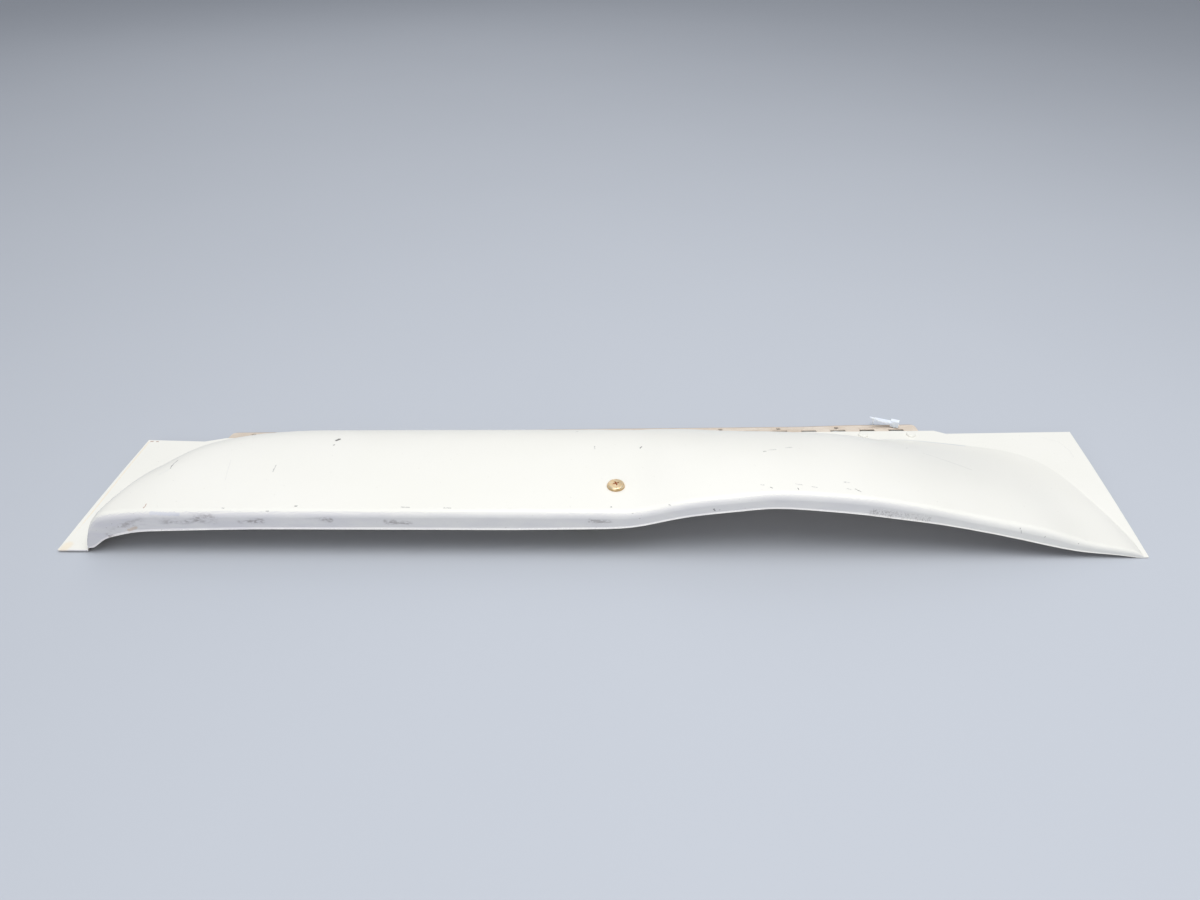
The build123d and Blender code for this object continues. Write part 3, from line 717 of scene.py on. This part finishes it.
def plated(name, node_name, shade_start, shade_end, shade_tone, by_depth=False):
    """Yellowed plate, with painted shade where the depth or the distance runs through a range.
    """
    material, tree, shader, place = new_finish(name)
    plate = use(tree, plate_group, Position=place)
    if by_depth:
        value = part(tree, place, 2)
    else:
        offset = vector_calc(tree, "SUBTRACT", place, screw_axis)[0]
        sideways = vector_calc(tree, "MULTIPLY", offset, (1, 1, 0))[0]
        value = vector_calc(tree, "LENGTH", sideways)[1]
    plate_shade = ramp(tree, value, shade_start, shade_end)
    tone = tint(tree, plate["Color"], plate_shade, PLATE_SHADE_STRENGTH, shade_tone)
    shader.inputs["Metallic"].default_value = METALLIC_PLATE
    tree.links.new(tone, shader.inputs["Base Color"])
    tree.links.new(plate["Roughness"], shader.inputs["Roughness"])
    roughen(tree, shader, noise(tree, place, 1800, 2.0), 0.03 * MM)
    give(node_name, material)


plated("plated_screw", "bracket_screw", RECESS_START, RECESS_END, RECESS_SHADE_RED, by_depth=True)
plated("plated_cup", "cup_washer", cup_radius - CUP_EDGE, cup_radius, EDGE_SHADE_BROWN)
plated("plated_washer", "plain_washer", WASHER_START, WASHER_END, EDGE_SHADE_BROWN)
plated("plated_nut", "lock_nut", WASHER_START, WASHER_END, EDGE_SHADE_BROWN)

# %% Pin
DARK_STEEL = (0.30, 0.28, 0.26, 1)
BRIGHT_STEEL = (0.52, 0.51, 0.49, 1)

material, tree, shader, place = new_finish("steel_pin")
worn = noise(tree, place, 900, 3.0, (0.1, 1, 1))
tone = blend(tree, ramp(tree, worn, 0.4, 0.7), DARK_STEEL, BRIGHT_STEEL)
shader.inputs["Metallic"].default_value = 1.0
tree.links.new(tone, shader.inputs["Base Color"])
worn_roughness = ramp(tree, worn, 0.3, 0.7, low=0.3, high=0.5)
tree.links.new(worn_roughness, shader.inputs["Roughness"])
roughen(tree, shader, worn, 0.03 * MM)
give("hinge_pin", material)

# %% [markdown]
# ## Nylon
# The tie is natural nylon, cool white and a little translucent, with fine lines along
# the strap from the mould. The nut's insert is the same plastic, coloured.


# %% Tie and nut insert
TIE_PALE = (0.88, 0.92, 0.98, 1)
TIE_DEEP = (0.78, 0.84, 0.93, 1)
INSERT_PALE = (0.52, 0.14, 0.10, 1)
INSERT_DEEP = (0.44, 0.11, 0.08, 1)
GLOW_SHARE = 0.25
GLOW_REACH = (1.2 * MM, 1.2 * MM, 1.4 * MM)


def nylon(name, node_name, pale, deep):
    """Moulded nylon with soft cloudiness and fine lines."""
    material, tree, shader, place = new_finish(name)
    clouds = noise(tree, place, 320, 2.0)
    lines = noise(tree, place, 1500, 1.0, (0.1, 1, 1))
    tone = blend(tree, ramp(tree, clouds, 0.3, 0.7), pale, deep)
    moulded = ramp(tree, lines, 0.3, 0.7, low=0.32, high=0.48)
    tree.links.new(tone, shader.inputs["Base Color"])
    tree.links.new(moulded, shader.inputs["Roughness"])
    shader.inputs["Subsurface Weight"].default_value = GLOW_SHARE
    shader.inputs["Subsurface Radius"].default_value = GLOW_REACH
    roughen(tree, shader, lines, 0.05 * MM)
    give(node_name, material)


nylon("nylon_tie", "tag_tie", TIE_PALE, TIE_DEEP)
nylon("nylon_insert", "nut_insert", INSERT_PALE, INSERT_DEEP)

# %% [markdown]
# ## The studio
# White paint shows its form only if the light has a direction. One large lamp nearly
# straight above lights the upper face, and leaves the turned-down lip in soft shade.
# It stands a little in front of the door, so the shadow stays under the lip, as in
# the photograph. Two weak wide lamps, low in front and behind, and a pale world fill
# the rest. The floor is plain and pale, a little darker than the paint, and carries
# the door's shadow. It lies a hair below the door.

# %% Floor
FLOOR_HALF = 6.0
FLOOR_LEVEL = -0.2 * MM
FLOOR_DEEP = (0.50, 0.53, 0.58, 1)
FLOOR_PALE = (0.52, 0.55, 0.60, 1)
FLOOR_ROUGHNESS = 0.9

corners = [(-1, -1), (1, -1), (1, 1), (-1, 1)]
floor_points = [(x * FLOOR_HALF, y * FLOOR_HALF, FLOOR_LEVEL) for x, y in corners]
floor_mesh = bpy.data.meshes.new("floor")
floor_mesh.from_pydata(floor_points, [], [(0, 1, 2, 3)])
floor = bpy.data.objects.new("floor", floor_mesh)
bpy.context.collection.objects.link(floor)
material, tree, shader, place = new_finish("floor")
floor_tone = blend(tree, noise(tree, place, 3), FLOOR_DEEP, FLOOR_PALE)
tree.links.new(floor_tone, shader.inputs["Base Color"])
shader.inputs["Roughness"].default_value = FLOOR_ROUGHNESS
floor_mesh.materials.append(material)
print("floor", 2 * FLOOR_HALF, "m wide")


# %% Lamps and world
WORLD_COLOUR = (0.90, 0.93, 1.0, 1)
WORLD_STRENGTH = 0.38


def lamp(name, place, target, size, power):
    """Square area lamp at a place, turned towards a target."""
    data = bpy.data.lights.new(name, "AREA")
    data.size = size
    data.energy = power
    piece = bpy.data.objects.new(name, data)
    piece.location = place
    direction = Vector(target) - Vector(place)
    piece.rotation_euler = direction.to_track_quat("-Z", "Y").to_euler()
    bpy.context.collection.objects.link(piece)
    print("lamp", name, "of", power, "W,", round(direction.length, 2), "m away")


lamp("key", (0.26, -0.35, 1.75), (0.04, 0, 0), size=1.4, power=27)
lamp("front", (-0.8, -2.0, 0.9), (0, 0, 0.02), size=1.4, power=9)
lamp("back", (-0.5, 1.5, 1.3), (0, 0, 0.02), size=1.6, power=4)

world = bpy.data.worlds.new("world")
bpy.context.scene.world = world
world.use_nodes = True
background = world.node_tree.nodes["Background"].inputs
background["Color"].default_value = WORLD_COLOUR
background["Strength"].default_value = WORLD_STRENGTH
bpy.context.scene.view_settings.view_transform = "Standard"
